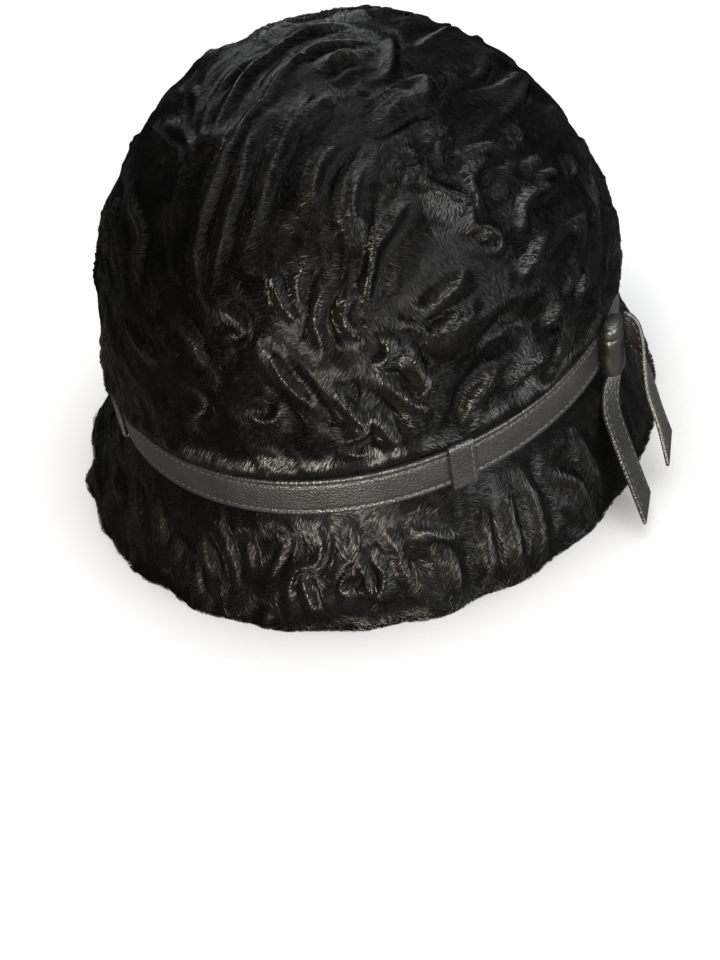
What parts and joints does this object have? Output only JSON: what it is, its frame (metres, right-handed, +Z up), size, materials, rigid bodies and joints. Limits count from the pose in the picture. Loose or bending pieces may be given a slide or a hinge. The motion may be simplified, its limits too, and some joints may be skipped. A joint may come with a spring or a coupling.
{
  "type": "astrakhan bucket hat",
  "caption": "Domed bucket hat of curly black lamb pelt with a flared brim and a leather band tied in a knot at one side; open below for a head.",
  "frame": {"origin": "under the middle of the hat, on the surface that the hem rests on", "axes": "+Z up through the crown, -Y to the front of the hat, +X to the wearer's left, where the knot is"},
  "size_m": [0.2168, 0.2224, 0.1491],
  "materials": {
    "pelt": "short silky curls with a soft sheen",
    "leather": "fine pebbled grain, satin"
  },
  "bodies": {
    "root": {"crown": "pelt", "brim": "pelt", "band": "leather", "keeper_right": "leather", "keeper_left": "leather", "knot": "leather", "tail_front": "leather", "tail_back": "leather"}
  },
  "joints": []
}
